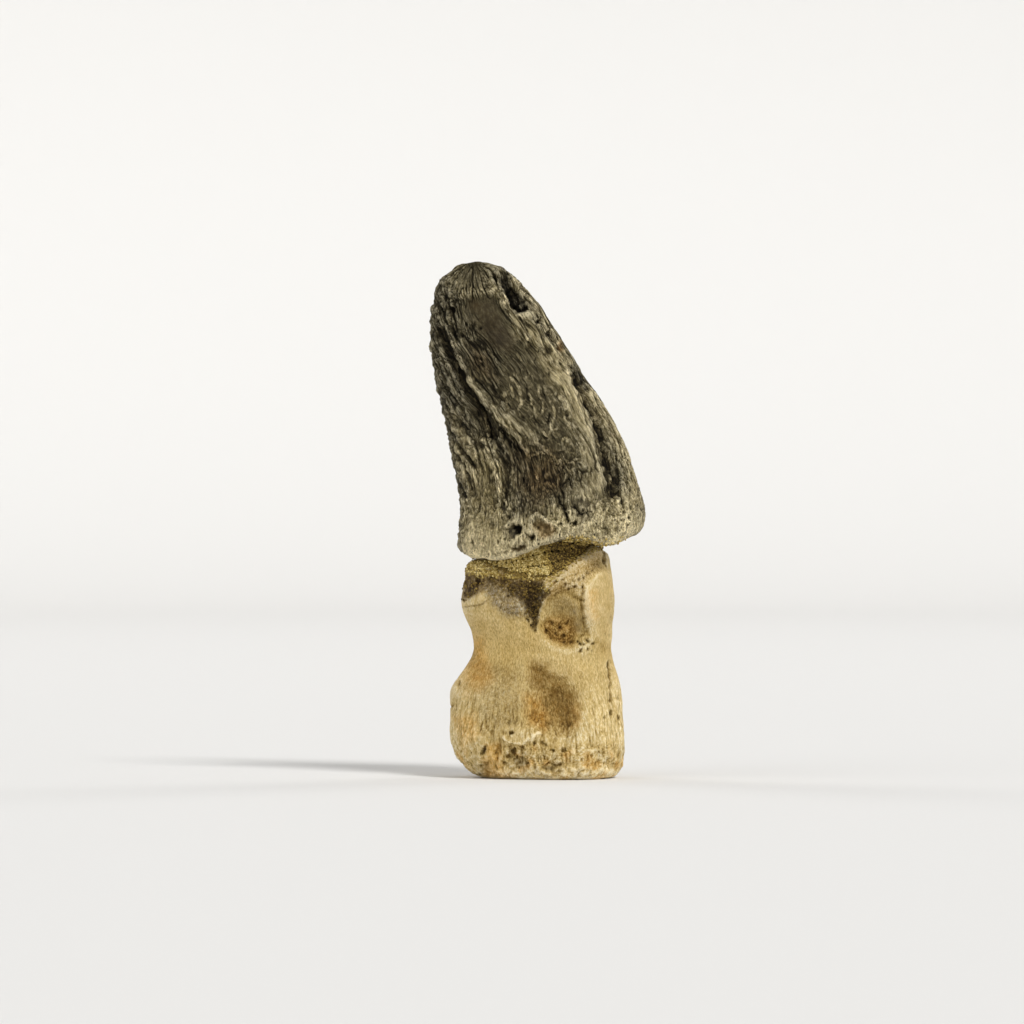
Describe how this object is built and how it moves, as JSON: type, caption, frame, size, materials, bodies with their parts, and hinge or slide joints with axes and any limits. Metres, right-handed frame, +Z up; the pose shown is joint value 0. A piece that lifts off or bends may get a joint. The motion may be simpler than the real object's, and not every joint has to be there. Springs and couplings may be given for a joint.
{
  "type": "dinosaur fossil claw",
  "caption": "Fossil toe claw core on its toe bone, the joint between them filled with sandstone, standing on the toe bone's worn joint face.",
  "frame": {"origin": "middle of the bounding box's base, on the surface that the toe bone's worn joint face stands on", "axes": "+Z up from the toe bone to the claw's tip; +X towards the claw's convex back edge, which is on the right when the broad side is seen from -Y; +Y to the side that faces away then"},
  "size_m": [0.0621, 0.041, 0.1497],
  "materials": {
    "dark_bone": "fibrous weathered bone turned to stone, grey-brown with paler ridges and dark hollows",
    "golden_bone": "smooth to finely streaked bone turned to stone, pale gold with orange and brown stains",
    "sandstone": "coarse golden sand grains cemented together, darker where recessed"
  },
  "bodies": {
    "root": {"claw_core": "dark_bone", "toe_bone": "golden_bone", "joint_sandstone": "sandstone"}
  },
  "joints": []
}
